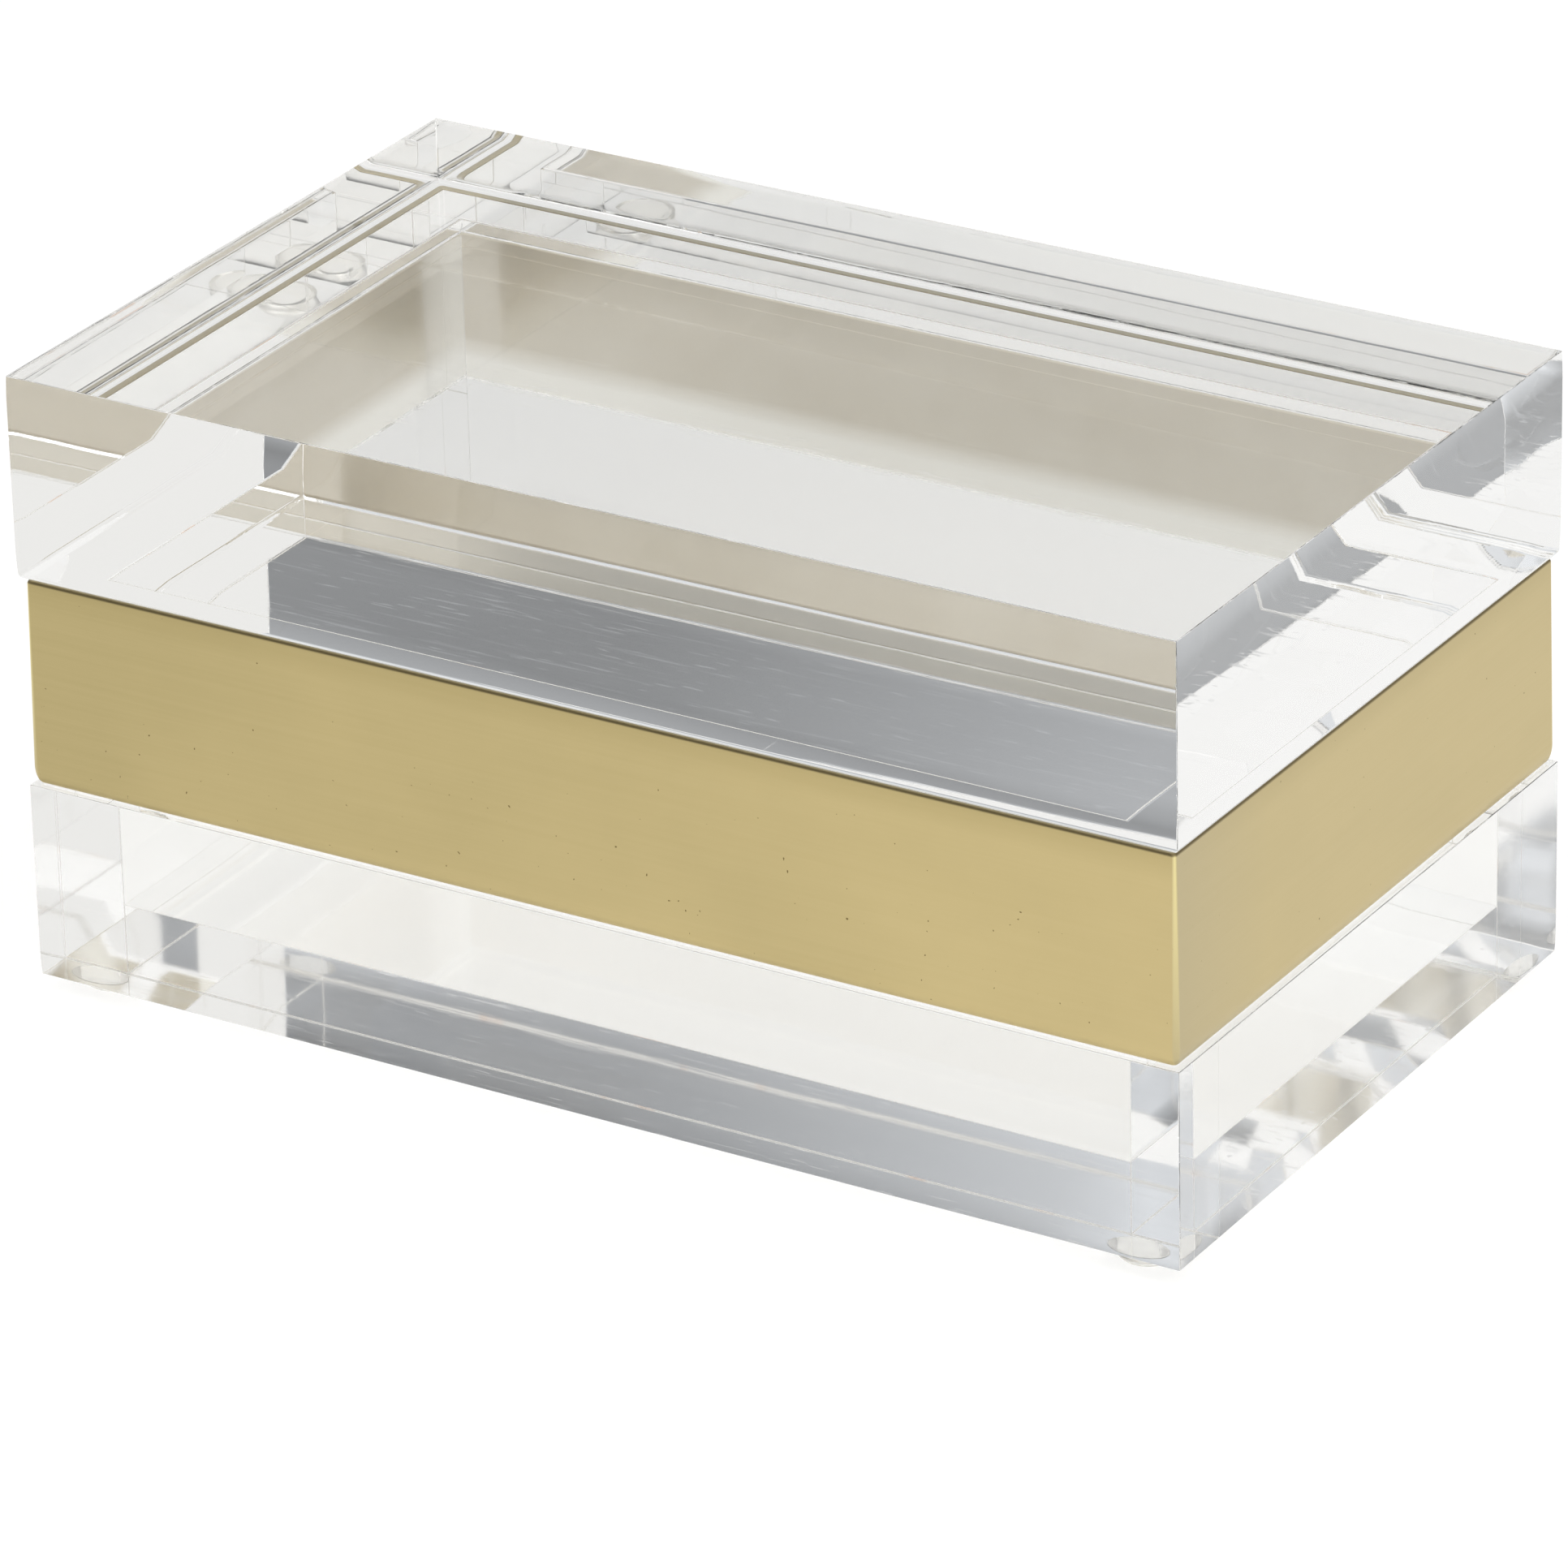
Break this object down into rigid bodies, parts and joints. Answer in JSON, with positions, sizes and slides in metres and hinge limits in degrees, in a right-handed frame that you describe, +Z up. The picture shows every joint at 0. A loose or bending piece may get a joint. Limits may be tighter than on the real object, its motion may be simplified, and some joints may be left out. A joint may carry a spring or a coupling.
{
  "type": "acrylic keepsake box",
  "caption": "Rectangular clear acrylic keepsake box with a brushed brass band and a thick lift-off lid, on small clear feet.",
  "frame": {"origin": "on the ground, below the middle of the box", "axes": "+X to the right along the long front, +Y from the front to the back, +Z up"},
  "size_m": [0.254, 0.15, 0.1304],
  "materials": {
    "clear_acrylic": "polished clear",
    "brushed_brass": "brushed satin",
    "clear_bumper": "clear soft plastic, a little cloudy"
  },
  "bodies": {
    "box": {"floor_panel": "clear_acrylic", "front_panel": "clear_acrylic", "back_panel": "clear_acrylic", "left_panel": "clear_acrylic", "right_panel": "clear_acrylic", "brass_band": "brushed_brass", "foot_front_left": "clear_bumper", "foot_front_right": "clear_bumper", "foot_back_left": "clear_bumper", "foot_back_right": "clear_bumper"},
    "lid": {"lid_slab": "clear_acrylic", "lid_insert": "clear_acrylic"}
  },
  "joints": [
    {"name": "lid_lift", "type": "slide", "parent": "box", "child": "lid", "axis": [0, 0, 1], "range_m": [0, 0.09]}
  ]
}
